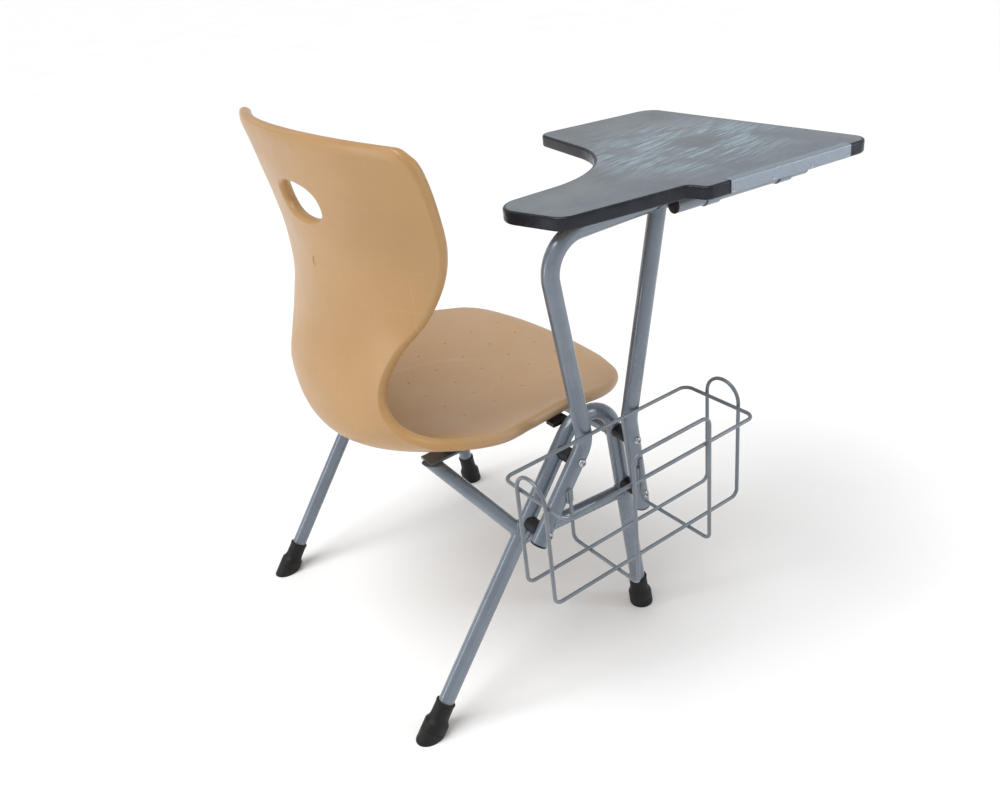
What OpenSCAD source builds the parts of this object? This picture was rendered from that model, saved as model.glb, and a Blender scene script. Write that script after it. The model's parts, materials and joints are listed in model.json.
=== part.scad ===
// Student desk chair: one-piece moulded shell on two bent-tube side frames,
// with a bolt-on frame at the sitter's right that carries a flip-up writing
// tablet and a wire book basket.
// Frame: millimetres, +Z up, the sitter faces -Y, the tablet is on the -X side,
// origin on the floor, midway between the four feet.

/* [Side frames] */
// Distance between the planes of the two side frames
frame_w = 528; // [440:1:600]
// Distance between the front and rear foot points
foot_pitch = 440; // [400:1:500]
// Outside diameter of the leg and support tubes
tube_d = 25; // [20:0.5:30]
// Wall of every tube
tube_wall = 1.5; // [1:0.1:2]
// Lean of the rear legs from vertical, degrees
rear_lean = 37.2; // [32:0.1:40]
// Lean of the front legs from vertical, degrees
front_lean = 6.3; // [3:0.1:9]
// Bend radius of the arch at the top of each side frame
arch_r = 53; // [48:0.5:60]
// Outside diameter of the stretchers, braces and cross tubes
rail_d = 22; // [18:0.5:24]
// Height at which the side stretchers meet the rear legs
stretcher_rear_z = 266; // [230:1:280]
// Height at which the side stretchers meet the front legs
stretcher_front_z = 251; // [220:1:280]

/* [Boots] */
// Outside diameter of a boot's sleeve
boot_sleeve_d = 31; // [29:0.5:36]
// Outside diameter of a boot's base
boot_base_d = 39; // [37:0.5:48]
// Length of a boot along its leg
boot_len = 60; // [50:1:80]
// Length of the wider base along the leg
boot_base_len = 24; // [20:1:34]

/* [Seat shell] */
// Overall width of the shell
shell_w = 516; // [440:1:560]
// Wall-to-wall thickness of the shell
shell_t = 22; // [16:0.5:26]
// Height of the middle of the shell wall at the centre of the seat
seat_z = 402; // [396:1:430]
// Height of the back above the seat
back_h = 470; // [400:1:540]
// Width of the hand hole
grip_w = 106; // [90:1:150]
// Height of the hand hole
grip_h = 47; // [40:1:64]
// Height of the middle of the hand hole above the seat
grip_z = 366; // [340:1:375]

/* [Seat carrier] */
// Distance between the two seat rails
seat_rail_gap = 290; // [240:1:310]
// Drop of the seat rails below the seat's own level
rail_drop = 18; // [17:0.5:24]
// Width of a seat rail
seat_rail_w = 30; // [24:1:40]
// Thickness of a seat rail
seat_rail_t = 4; // [3:0.5:6]
// Diameter of the screws that hold the shell
seat_screw_d = 6; // [5:0.5:7]

/* [Tablet support] */
// Gap between a leg and the support tube that is bolted to it
spacer_gap = 16; // [12:0.5:24]
// Height of the lower end of the rear support tube
support_rear_end_z = 277; // [260:1:290]
// Height of the lower end of the front support tube
support_front_end_z = 242; // [220:1:260]
// Height at which both support tubes bend away from the legs
support_knee_z = 408; // [400:1:430]
// Diameter of the four support bolts
bolt_d = 6; // [5:0.5:8]

/* [Tablet] */
// Height of the tablet's upper face
tablet_z = 752; // [720:1:790]
// Thickness of the tablet
tablet_t = 18.5; // [16:0.5:24]
// Width of the cast edge round the tablet
edge_w = 4; // [3:0.5:12]
// Outside diameter of the hinge bar under the tablet
hinge_bar_d = 22; // [18:0.5:24]
// Length of the hinge bar
hinge_bar_len = 226; // [200:1:260]
// Length of the aluminium edge strip
strip_len = 212; // [180:1:230]

/* [Basket] */
// Diameter of the basket wire
wire_d = 5.5; // [4:0.25:7]
// Length of the basket rim, rear to front
basket_len = 343; // [300:1:380]
// Width of the basket rim
basket_w = 131; // [100:1:160]
// Height of the basket rim above the floor
basket_z = 427; // [420:1:450]
// Depth of the basket from its rim to its floor
basket_depth = 155; // [120:1:175]

/* [Hidden] */
$fn = 48;

steel = "#8a939b";
black = "#1c1d20";
shell_tan = "#c9a070";
touch = 0.05;           // gap left at a welded or pressed seat
slit = 0.03;            // hairline left between a straight and its bend
seam = 1;               // half length of the collar that joins them
rest_gap = 0.3;         // gap left where one piece rests on another
tube_r = tube_d / 2;
rail_r = rail_d / 2;
side_x = frame_w / 2;
foot_y = foot_pitch / 2;

// ---- vectors ----
function unit(v) = v / norm(v);
function mix(a, b, u) = a + (b - a) * u;

// Places children so that their +Z runs from p towards q
module aim(p, q) {
    d = q - p;
    translate(p)
        rotate([0, acos(d.z / norm(d)), atan2(d.y, d.x)])
            children();
}

// Straight round bar from p to q, made longer by ext at each end and turned
// by roll about its own line
module bar(p, q, r, ext = 0, roll = 0) {
    aim(p, q)
        rotate([0, 0, roll])
            translate([0, 0, -ext])
                cylinder(r = r, h = norm(q - p) + 2 * ext);
}

// Round bar along points, bent at each inner point with a true arc
function bend_cut(a, b, c, bend_r) = bend_r * tan(acos(unit(b - a) * unit(c - b)) / 2);
function bend_at(bend_r, i) = is_list(bend_r) ? bend_r[i] : bend_r;
module elbow(a, b, c, r, bend_r) {
    u = unit(b - a);
    v = unit(c - b);
    turn = acos(u * v);
    n = unit(cross(u, v));
    start = b - u * bend_r * tan(turn / 2);
    out = cross(u, n);
    centre = start - out * bend_r;
    multmatrix([[out.x, u.x, n.x, centre.x],
                [out.y, u.y, n.y, centre.y],
                [out.z, u.z, n.z, centre.z],
                [0, 0, 0, 1]])
        rotate_extrude(angle = turn)
            translate([bend_r, 0])
                circle(r = r);
}
module bent_bar(pts, r, bend_r, collar, ext = 0, closed = false) {
    n = len(pts);
    legs = closed ? n : n - 1;
    for (i = [0 : legs - 1]) {
        a = pts[(i + n - 1) % n];
        b = pts[i];
        c = pts[(i + 1) % n];
        e = pts[(i + 2) % n];
        d = unit(c - b);
        first = !closed && i == 0;
        last = !closed && i == legs - 1;
        from = first ? b - d * ext : b + d * bend_cut(a, b, c, bend_at(bend_r, i));
        to = last ? c + d * ext : c - d * bend_cut(b, c, e, bend_at(bend_r, (i + 1) % n));
        bar(first ? from : from + d * slit, last ? to : to - d * slit, r);
        if (!first)
            bar(from - d * seam, from + d * seam, r + collar);
        if (!last) {
            bar(to - d * seam, to + d * seam, r + collar);
            elbow(b, c, e, r, bend_at(bend_r, (i + 1) % n));
        }
    }
}
// Tube along points: outside bar less the bore
module bent_tube(pts, r, bend_r) {
    difference() {
        bent_bar(pts, r, bend_r, -0.3);
        bent_bar(pts, r - tube_wall, bend_r, 0.1, ext = 1);
    }
}

// ---- leg lines, in the plane of a side frame ----
function rear_leg(z) = [foot_y - z * tan(rear_lean), z];
function front_leg(z) = [-foot_y + z * tan(front_lean), z];
function at_x(x, p) = [x, p.x, p.y];
apex_z = foot_pitch / (tan(rear_lean) + tan(front_lean));
leg_start = 26;         // the tube stops this far up the leg from the floor
function rear_axis(x, l) = at_x(x, [foot_y - l * sin(rear_lean), l * cos(rear_lean)]);
function front_axis(x, l) = at_x(x, [-foot_y + l * sin(front_lean), l * cos(front_lean)]);

// ---- side frames ----
module side_frame(s) {
    x = s * side_x;
    color(steel)
        difference() {
            bent_tube([rear_axis(x, leg_start), at_x(x, rear_leg(apex_z)),
                front_axis(x, leg_start)], tube_r, arch_r);
            if (s < 0)
                bolt_row(nut_r + touch, -side_x - tube_r - 2, -side_x);
        }
}
module legs_cut(s) {
    x = s * side_x;
    bar(rear_axis(x, leg_start), at_x(x, rear_leg(apex_z)), tube_r + touch);
    bar(front_axis(x, leg_start), at_x(x, front_leg(apex_z)), tube_r + touch);
}
module stretcher(s) {
    x = s * side_x;
    color(steel)
        difference() {
            straight_tube(at_x(x, rear_leg(stretcher_rear_z)),
                at_x(x, front_leg(stretcher_front_z)), rail_r);
            legs_cut(s);
        }
}
module straight_tube(p, q, r) {
    difference() {
        bar(p, q, r);
        bar(p, q, r - tube_wall, 1);
    }
}

// ---- boots ----
boot_start = -20;       // below the floor, trimmed level with it
boot_shoulder = 5;
trim = 120;             // size of the block that trims an end off
module boot(p, q) {
    color(black)
        difference() {
            aim(p, q)
                union() {
                    translate([0, 0, boot_start])
                        cylinder(d = boot_base_d, h = boot_base_len - boot_start);
                    translate([0, 0, boot_base_len])
                        cylinder(d1 = boot_base_d, d2 = boot_sleeve_d, h = boot_shoulder);
                    cylinder(d = boot_sleeve_d, h = boot_len);
                }
            aim(p, q)
                translate([0, 0, leg_start - touch])
                    cylinder(r = tube_r + touch, h = boot_len);
            translate([p.x, p.y, -trim / 2])
                cube(trim, center = true);
        }
}

// ---- seat shell ----
// Stations from the front lip to the top edge, on the middle of the wall:
// [centre y, centre z, half width, edge y, edge z], z above the seat.
stations = [
    [-295,  -8, 120, -285,  -6],
    [-285,  -4, 180, -265,   0],
    [-262,   0, 215, -232,   8],
    [-220,   0, 232, -185,  15],
    [-150,  -4, 240, -110,  30],
    [ -70, -10, 248,  -40,  33],
    [  15, -12, 250,   20,  35],
    [ 115,  -5, 220,   90,  45],
    [ 160,  20, 180,  125,  63],
    [ 162,  70, 152,  135,  90],
    [ 148, 125, 146,  127, 126],
    [ 132, 180, 162,  105, 170],
    [ 124, 235, 198,   76, 218],
    [ 121, 288, 230,   60, 275],
    [ 124, 338, 250,   60, 325],
    [ 131, 388, 258,   69, 375],
    [ 139, 432, 258,   79, 420],
    [ 144, 456, 252,   88, 446],
    [ 144, 470, 230,   94, 460]];
stations_h = 470;       // height of the last station
stations_w = 258;       // widest half width
last_station = len(stations) - 1;
function curve(a, b, c, d, u) =
    0.5 * (2 * b + (c - a) * u + (2 * a - 5 * b + 4 * c - d) * u * u
        + (3 * b - a - 3 * c + d) * u * u * u);
function row(s) = let (i = min(floor(s), last_station - 1))
    curve(stations[max(i - 1, 0)], stations[i], stations[i + 1],
        stations[min(i + 2, last_station)], s - i);
function high(z) = seat_z + (z > 0 ? z * back_h / stations_h : z);
function wall_mid(s, t) = let (p = row(s), k = shell_w / 2 / stations_w)
    [p[2] * k * t, mix(p[0], p[3], t * t), high(mix(p[1], p[4], t * t))];
function wall_normal(s, t) = let (e = 0.02)
    unit(cross(wall_mid(s, min(t + e, 1)) - wall_mid(s, max(t - e, -1)),
        wall_mid(min(s + e, last_station), t) - wall_mid(max(s - e, 0), t)));
// Rows and columns close up at the rim, where the wall rounds off
rim_step = [0, 0.06, 0.18, 0.36];
rim_rise = [0.14, 0.5, 0.8, 0.97];
cols = concat([for (v = rim_step) -1 + v * 0.22], [for (i = [-4 : 4]) i * 0.2],
    [for (i = [3 : -1 : 0]) 1 - rim_step[i] * 0.22]);
rows = concat([for (v = rim_step) v * 1.4], [for (i = [1 : 0.5 : last_station - 1]) i],
    [for (i = [3 : -1 : 0]) last_station - rim_step[i] * 1.4]);
function rise(i, n) = let (m = min(i, n - 1 - i)) m < 4 ? rim_rise[m] : 1;
function skin(i, j, side) = let (s = rows[i], t = cols[j])
    wall_mid(s, t) + wall_normal(s, t) * side * shell_t / 2
        * min(rise(i, len(rows)), rise(j, len(cols)));
module shell_wall() {
    nr = len(rows);
    nc = len(cols);
    pts = concat([for (i = [0 : nr - 1]) for (j = [0 : nc - 1]) skin(i, j, 1)],
        [for (i = [0 : nr - 1]) for (j = [0 : nc - 1]) skin(i, j, -1)]);
    under = nr * nc;
    top = [for (i = [0 : nr - 2]) for (j = [0 : nc - 2]) for (h = [0, 1])
        let (a = i * nc + j) h == 0 ? [a, a + 1, a + nc + 1] : [a, a + nc + 1, a + nc]];
    bottom = [for (f = top) [f[0] + under, f[2] + under, f[1] + under]];
    loop = concat([for (j = [0 : nc - 1]) j],
        [for (i = [1 : nr - 1]) i * nc + nc - 1],
        [for (j = [nc - 2 : -1 : 0]) (nr - 1) * nc + j],
        [for (i = [nr - 2 : -1 : 1]) i * nc]);
    n = len(loop);
    side = [for (k = [0 : n - 1]) for (h = [0, 1])
        let (a = loop[k], b = loop[(k + 1) % n])
            h == 0 ? [a, a + under, b + under] : [a, b + under, b]];
    polyhedron(pts, concat(top, bottom, side));
}
module seat_shell() {
    color(shell_tan)
        difference() {
            shell_wall();
            shell_holes();
            translate([0, 0, seat_z + grip_z])
                rotate([90, 0, 0])
                    linear_extrude(height = 400, center = true)
                        grip_outline();
        }
}
module grip_outline() {
    c = (grip_w - grip_h) / 2;
    union() {
        translate([-c, 0]) circle(d = grip_h);
        translate([c, 0]) circle(d = grip_h);
        square([2 * c, grip_h], center = true);
    }
}

// ---- seat carrier ----
rail_top_z = seat_z - rail_drop;
cross_z = rail_top_z - seat_rail_t - touch - rail_r;
rail_x = seat_rail_gap / 2;
cross_y = front_leg(cross_z).x;
rail_end = 17;          // the rails run this far past the cross tube
rail_front_y = cross_y - rail_end;
brace_top_y = 80;
rail_rear_y = brace_top_y + 6;
brace_roll = 30;
brace_out = 8;          // the braces' heads lie this far outside the rails' middles
brace_rise = 9;         // the braces meet the rear legs this far above the stretchers
module cross_tube() {
    color(steel)
        difference() {
            straight_tube([-side_x, cross_y, cross_z], [side_x, cross_y, cross_z], rail_r);
            legs_cut(1);
            legs_cut(-1);
        }
}
module brace(s) {
    foot = at_x(s * side_x, rear_leg(stretcher_rear_z + brace_rise));
    head = [s * (rail_x + brace_out), brace_top_y, rail_top_z - seat_rail_t];
    along = unit(head - foot);
    color(steel)
        difference() {
            bar(foot + along * tube_wall, head + along * rail_d, rail_r, roll = brace_roll);
            bar(foot, head + along * (rail_d + 1), rail_r - tube_wall, roll = brace_roll);
            legs_cut(s);
            translate([head.x, head.y, head.z - touch + trim / 2])
                cube(trim, center = true);
        }
}
module seat_rail(s) {
    color(steel)
        difference() {
            translate([s * rail_x - seat_rail_w / 2, rail_front_y, rail_top_z - seat_rail_t])
                cube([seat_rail_w, rail_rear_y - rail_front_y, seat_rail_t]);
            for (q = screw_seats)
                translate([s * rail_x, q.y, rail_top_z - 2 * seat_rail_t])
                    cylinder(d = seat_screw_d + 0.4, h = 3 * seat_rail_t);
        }
}
// Black bumpers between the arches and the shell's rim
pad_size = [18, 30, 6];
pad_rear_y = -76;
pad_top_z = seat_z + 17;
module seat_pads() {
    color(black)
        for (s = [-1, 1])
            translate([s * (side_x - tube_r - touch - pad_size.x / 2),
                pad_rear_y - pad_size.y / 2, pad_top_z - pad_size.z / 2])
                cube(pad_size, center = true);
}
// Each screw meets the shell's underside on one row of the shell
screw_rows = [4, 5.2, 6.3];
screw_seats = [for (i = screw_rows) underside(i)];
function underside(s) = let (t = rail_x / (row(s)[2] * shell_w / 2 / stations_w))
    wall_mid(s, t) - wall_normal(s, t) * shell_t / 2;
screw_bite = 9;         // depth of a screw in the shell
spacer_d = 16;
spacer_dip = 2.8;         // the shell dips this far within the width of a spacer
screw_head_h = 3.5;
module screw_shank(q, s, d, extra) {
    from_z = rail_top_z - seat_rail_t - touch;
    translate([s * rail_x, q.y, from_z])
        cylinder(d = d, h = q.z - from_z + screw_bite + extra);
}
module seat_screws() {
    color(black)
        for (s = [-1, 1])
            for (q = screw_seats)
                union() {
                    screw_shank(q, s, seat_screw_d, 0);
                    translate([s * rail_x, q.y, rail_top_z - seat_rail_t - touch - screw_head_h])
                        cylinder(d = 2 * seat_screw_d, h = screw_head_h);
                }
}
module shell_holes() {
    for (s = [-1, 1])
        for (q = screw_seats)
            screw_shank(q, s, seat_screw_d + 0.2, 0.5);
}
module seat_spacers() {
    color(black)
        difference() {
            for (s = [-1, 1])
                for (q = screw_seats)
                    translate([s * rail_x, q.y, rail_top_z + touch])
                        cylinder(d = spacer_d, h = q.z - spacer_dip - rest_gap - rail_top_z - touch);
            shell_holes();
        }
}

// ---- tablet support ----
support_x = -(side_x + tube_d + spacer_gap);
run_z = tablet_z - tablet_t - rest_gap - tube_r;
rear_top_y = -46;
front_top_y = -247;
run_end_y = -336;
knee_r = 45;
top_bend_r = 52;
rear_support_path = [at_x(support_x, rear_leg(support_rear_end_z)),
    at_x(support_x, rear_leg(support_knee_z)),
    [support_x, rear_top_y, run_z], [support_x, run_end_y, run_z]];
front_support_path = [at_x(support_x, front_leg(support_front_end_z)),
    at_x(support_x, front_leg(support_knee_z)), [support_x, front_top_y, run_z]];
bolt_points = [rear_leg(384), rear_leg(291), front_leg(373), front_leg(270)];
module bolt_row(r, from_x, to_x) {
    for (p = bolt_points)
        translate([from_x, p.x, p.y])
            rotate([0, 90, 0])
                cylinder(r = r, h = to_x - from_x);
}
bolt_clear = 0.15;
bolt_head_x = support_x - tube_r;
bolt_end_x = -side_x - 1;
nut_r = 4.6;            // the rivet nuts sit in the outer wall of the legs
nut_len = 10;
nut_x = -side_x - tube_r + 1;
spacer_r = 11.5;
spacer_clip = 8;        // the spacers stop this far short of the tubes' middles
module bolt_holes() {
    bolt_row(bolt_d / 2 + bolt_clear, bolt_head_x - 5, -side_x);
}
module support_rear() {
    color(steel)
        difference() {
            bent_tube(rear_support_path, tube_r, [0, knee_r, top_bend_r, 0]);
            bolt_holes();
        }
}
module support_front() {
    color(steel)
        difference() {
            bent_tube(front_support_path, tube_r, [0, knee_r, 0]);
            bar([support_x, 0, run_z], [support_x, run_end_y, run_z], tube_r + touch);
            bolt_holes();
        }
}
module support_spacers() {
    color(black)
        difference() {
            bolt_row(spacer_r, support_x + spacer_clip, -side_x - spacer_clip);
            legs_cut(-1);
            elbow(rear_axis(-side_x, leg_start), at_x(-side_x, rear_leg(apex_z)),
                front_axis(-side_x, leg_start), tube_r + 4 * touch, arch_r);
            bar(rear_support_path[0], rear_support_path[1], tube_r + touch, 20);
            bar(front_support_path[0], front_support_path[1], tube_r + touch, 20);
            bolt_holes();
        }
}
module dome(r, h) {
    ball = (r * r + h * h) / (2 * h);
    rotate_extrude()
        intersection() {
            translate([0, h - ball]) circle(r = ball);
            square([r, h]);
        }
}
module support_bolts() {
    color("silver")
        for (p = bolt_points)
            translate([bolt_head_x - touch, p.x, p.y])
                rotate([0, -90, 0])
                    difference() {
                        union() {
                            dome(6.5, 4.2);
                            translate([0, 0, bolt_head_x - bolt_end_x])
                                cylinder(d = bolt_d, h = bolt_end_x - bolt_head_x);
                        }
                        translate([0, 0, 2])
                            cylinder(d = 4.6, h = 5, $fn = 6);
                    }
}
module support_nuts() {
    color("silver")
        difference() {
            bolt_row(nut_r, nut_x, nut_x + nut_len);
            bolt_row(bolt_d / 2 + touch, nut_x - 1, nut_x + nut_len + 1);
        }
}
module plug(p, q) {
    aim(p, q)
        union() {
            translate([0, 0, -3])
                cylinder(r = tube_r, h = 3 - touch);
            translate([0, 0, -1])
                cylinder(r = tube_r - tube_wall - touch, h = 13);
        }
}
module support_plugs() {
    color(black) {
        plug(rear_support_path[0], rear_support_path[1]);
        plug(front_support_path[0], front_support_path[1]);
        plug(rear_support_path[3], rear_support_path[2]);
    }
}

// ---- tablet ----
tablet_slant = 6.8;     // the tablet's right edge runs outward towards the front
edge_ref = [-396, -284];
function right_edge(y) = [edge_ref.x + (y - edge_ref.y) * tan(tablet_slant), y];
edge_dir = [-sin(tablet_slant), -cos(tablet_slant)];
edge_in = [cos(tablet_slant), -sin(tablet_slant)];
// Corners of the tablet with their radii, anticlockwise from the rear of the
// armrest: armrest end, notch, front corners, belly corner, belly curve
tablet_corners = [[[-211, -28], 34], [[-331, -60], 30], [[-364, -242], 10],
    [right_edge(-250), 14], [right_edge(-543), 24], [[-6, -524], 32],
    [[37, -311], 20], [[-223, -273], 150]];
function left_of(u) = [-u.y, u.x];
function turn_of(u, v) = u.x * v.y - u.y * v.x;
function corner_points(a, b, c, r, d) = let (
        u = unit(b - a), v = unit(c - b), side = sign(turn_of(u, v)),
        turn = acos(u * v), p = b + d * (left_of(u) + left_of(v)) / (1 + u * v),
        rr = max(r - side * d, 1),
        centre = p - u * rr * tan(turn / 2) + left_of(u) * side * rr,
        steps = ceil(turn * rr / 240) + 2)
    [for (k = [0 : steps]) let (g = side * turn * k / steps, w = -side * left_of(u))
        centre + rr * [w.x * cos(g) - w.y * sin(g), w.x * sin(g) + w.y * cos(g)]];
function tablet_outline(d) = let (n = len(tablet_corners))
    [for (i = [0 : n - 1]) each corner_points(tablet_corners[(i + n - 1) % n][0],
        tablet_corners[i][0], tablet_corners[(i + 1) % n][0], tablet_corners[i][1], d)];
under_z = tablet_z - tablet_t;
laminate_t = 0.8;
module slab(d, z, h) {
    translate([0, 0, z])
        linear_extrude(height = h)
            polygon(tablet_outline(d));
}
module tablet_board() {
    color("#b39b76")
        difference() {
            slab(edge_w + touch, under_z, tablet_t - laminate_t - touch);
            saddle_screw_holes();
            strip_screw_holes();
        }
}
module tablet_laminate() {
    color("#6f777c")
        difference() {
            slab(edge_w + touch, tablet_z - laminate_t, laminate_t);
            strip_bed();
        }
}
module tablet_edge() {
    color(black)
        difference() {
            slab(0, under_z, tablet_t);
            slab(edge_w, under_z - 1, tablet_t + 2);
            strip_screw_holes();
            strip_bed();
        }
}
strip_lip = 14;
strip_t = 1.5;
strip_gap = 0.2;
strip_low_z = under_z + 1.5;
strip_bed_z = tablet_z - laminate_t;
strip_start = edge_ref + edge_dir * 2;
module along_edge(s, inset) {
    p = strip_start + edge_dir * s + edge_in * inset;
    translate([p.x, p.y, 0])
        rotate([0, 0, -tablet_slant])
            children();
}
// The strip's lip lies on the board in a shallow bed, so a sheet of paper meets no edge there
module strip_bed() {
    along_edge(0, 0)
        translate([-2 * strip_t, -strip_len - strip_gap, strip_bed_z])
            cube([strip_lip + 2 * strip_t + strip_gap, strip_len + 2 * strip_gap,
                laminate_t + 1]);
}
module edge_strip() {
    color("#b4c0c8")
        along_edge(0, 0)
            difference() {
                translate([-strip_t - touch, -strip_len, strip_low_z])
                    cube([strip_lip + strip_t, strip_len,
                        strip_bed_z + touch + strip_t - strip_low_z]);
                translate([-touch, -strip_len - 1, strip_low_z - 1])
                    cube([strip_lip + 2, strip_len + 2, strip_bed_z + touch - strip_low_z + 1]);
                for (s = strip_screws_at)
                    translate([-5, -s, strip_screw_z])
                        rotate([0, 90, 0])
                            cylinder(r = 1.4, h = 6);
            }
}
strip_screw_z = strip_low_z + 3;
strip_screws_at = [4, 72, 140, 208];
module strip_screw_holes() {
    along_edge(0, 0)
        for (s = strip_screws_at)
            translate([-1, -s, strip_screw_z])
                rotate([0, 90, 0])
                    cylinder(r = 1.3, h = 15);
}
module strip_screws() {
    color("silver")
        along_edge(0, 0)
            for (s = strip_screws_at)
                translate([-strip_t - 2 * touch, -s, strip_screw_z])
                    union() {
                        rotate([0, -90, 0])
                            dome(2.4, 1.1);
                        rotate([0, 90, 0])
                            cylinder(r = 1.2, h = 14);
                    }
}

// ---- hinge ----
hinge_r = hinge_bar_d / 2;
hinge_inset = 48;
hinge_z = under_z - rest_gap - hinge_r;
function hinge_at(y) = let (p = right_edge(y) + edge_in * hinge_inset) [p.x, p.y, hinge_z];
hinge_rear = hinge_at(-233);
hinge_front = hinge_rear + [edge_dir.x, edge_dir.y, 0] * hinge_bar_len;
function on_hinge(s) = hinge_rear + [edge_dir.x, edge_dir.y, 0] * s;
lug_ys = [-269, -323];
lug_t = 5;
saddle_at = [58, 186];
saddle_w = 22;
saddle_t = 2;
flange_w = 30;
saddle_screw_out = 21;
module hinge_bar() {
    color(steel)
        straight_tube(hinge_rear, hinge_front, hinge_r);
}
module hinge_lugs() {
    color(steel)
        for (y = lug_ys)
            difference() {
                translate([hinge_at(y).x, y - lug_t / 2, hinge_z - 9])
                    cube([support_x - hinge_at(y).x, lug_t, 14]);
                bar(hinge_rear, hinge_front, hinge_r + touch);
                bar([support_x, 0, run_z], [support_x, run_end_y, run_z], tube_r + touch);
            }
}
module hinge_bar_caps() {
    color(black) {
        hinge_cap(hinge_rear, hinge_front);
        hinge_cap(hinge_front, hinge_rear);
    }
}
module hinge_cap(p, q) {
    aim(p, q)
        union() {
            translate([0, 0, -3])
                cylinder(r = hinge_r, h = 3 - touch);
            translate([0, 0, -1])
                cylinder(r = hinge_r - tube_wall - touch, h = 11);
        }
}
// In the hinge frame +Z runs forward along the bar and +X points down
module at_hinge(s) {
    translate(on_hinge(s))
        rotate([0, 90, atan2(edge_dir.y, edge_dir.x)])
            children();
}
running = 0.06;
module hinge_saddles() {
    color("silver")
        for (s = saddle_at)
            at_hinge(s)
                difference() {
                    translate([0, 0, -saddle_w / 2])
                        linear_extrude(height = saddle_w)
                            difference() {
                                union() {
                                    circle(r = hinge_r + saddle_t);
                                    translate([-hinge_r - rest_gap + touch, -hinge_r - saddle_t])
                                        square([hinge_r, 2 * (hinge_r + saddle_t)]);
                                    translate([-hinge_r - rest_gap + touch, -flange_w])
                                        square([saddle_t, 2 * flange_w]);
                                }
                                circle(r = hinge_r + running);
                                translate([-2 * hinge_r, -flange_w])
                                    square([hinge_r - rest_gap + touch, 2 * flange_w]);
                                translate([-hinge_r - 2, -9])
                                    square([6, 18]);
                            }
                    for (k = [-1, 1])
                        translate([-hinge_r - 2, k * saddle_screw_out, 0])
                            rotate([0, 90, 0])
                                cylinder(d = 4.6, h = 8);
                }
}
module saddle_screw_holes() {
    for (s = saddle_at)
        at_hinge(s)
            for (k = [-1, 1])
                translate([-hinge_r - 13, k * saddle_screw_out, 0])
                    rotate([0, 90, 0])
                        cylinder(d = 4.2, h = 14);
}
module saddle_screws() {
    color("silver")
        for (s = saddle_at)
            at_hinge(s)
                for (k = [-1, 1])
                    translate([-hinge_r - rest_gap + saddle_t + 2 * touch, k * saddle_screw_out, 0])
                        rotate([0, -90, 0])
                            union() {
                                translate([0, 0, -2.5])
                                    cylinder(d = 9, h = 2.5);
                                cylinder(d = 4, h = saddle_t + 11);
                            }
}

// ---- basket ----
wire_r = wire_d / 2;
rim_in_x = support_x - tube_r - wire_r - touch;
rim_out_x = rim_in_x - basket_w;
rim_rear_y = 65;
rim_front_y = rim_rear_y - basket_len;
floor_z = basket_z - basket_depth;
long_rear_y = rim_rear_y + wire_d + touch;
long_front_y = rim_front_y - wire_d - touch;
long_in_x = rim_in_x - 38;
long_out_x = long_in_x - 59;
arch_z = basket_z + 33;
module wire_loop(pts, bends, closed) {
    color(steel)
        bent_bar(pts, wire_r, bends, -0.2, closed = closed);
}
module basket_rim() {
    wire_loop([[rim_in_x, rim_rear_y, basket_z], [rim_in_x, rim_front_y, basket_z],
        [rim_out_x, rim_front_y, basket_z], [rim_out_x, rim_rear_y, basket_z]],
        14, true);
}
module basket_long_loop() {
    up = (long_in_x - long_out_x) / 2 - 0.5;
    wire_loop([[long_in_x, long_rear_y, floor_z], [long_in_x, long_front_y, floor_z],
        [long_in_x, long_front_y, arch_z], [long_out_x, long_front_y, arch_z],
        [long_out_x, long_front_y, floor_z], [long_out_x, long_rear_y, floor_z],
        [long_out_x, long_rear_y, arch_z], [long_in_x, long_rear_y, arch_z]],
        [12, 12, up, up, 12, 12, up, up], true);
}
cross_floor_z = floor_z - wire_d - touch;
cross_out_x = rim_out_x - wire_d - touch;
cross_top_z = basket_z + 45;
cross_rear_y = -43;
cross_front_y = -181;
cross_end_z = [354, 342];
module basket_cross_loop() {
    difference() {
        wire_loop([[rim_in_x, cross_rear_y, cross_end_z[0]], [rim_in_x, cross_rear_y, cross_floor_z],
            [cross_out_x, cross_rear_y, cross_floor_z], [cross_out_x, cross_rear_y, cross_top_z],
            [cross_out_x, cross_front_y, cross_top_z], [cross_out_x, cross_front_y, cross_floor_z],
            [rim_in_x, cross_front_y, cross_floor_z], [rim_in_x, cross_front_y, cross_end_z[1]]],
            [0, 10, 10, 14, 14, 10, 10, 0], false);
        for (p = [rear_support_path, front_support_path])
            bar(p[0], p[1], tube_r + touch);
    }
}

seat_shell();
side_frame(-1);  // side_frame_right
side_frame(1);  // side_frame_left
stretcher(-1);  // stretcher_right
stretcher(1);  // stretcher_left
brace(-1);  // brace_right
brace(1);  // brace_left
cross_tube();
seat_rail(-1);  // seat_rail_right
seat_rail(1);  // seat_rail_left
seat_pads();
seat_spacers();
seat_screws();
boot(rear_axis(-side_x, 0), rear_axis(-side_x, 1));  // boot_rear_right
boot(rear_axis(side_x, 0), rear_axis(side_x, 1));  // boot_rear_left
boot(front_axis(-side_x, 0), front_axis(-side_x, 1));  // boot_front_right
boot(front_axis(side_x, 0), front_axis(side_x, 1));  // boot_front_left
support_rear();
support_front();
support_spacers();
support_bolts();
support_nuts();
support_plugs();
hinge_bar();
hinge_lugs();
hinge_bar_caps();
hinge_saddles();
saddle_screws();
tablet_board();
tablet_laminate();
tablet_edge();
edge_strip();
strip_screws();
basket_rim();
basket_long_loop();
basket_cross_loop();
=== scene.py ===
"""Looks of the student desk chair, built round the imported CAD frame. Metres, +Z up,
the sitter faces -Y and the tablet and basket are on the -X side."""

import json
import math

import bmesh
import bpy
import numpy as np
from mathutils import Matrix, Vector


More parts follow.
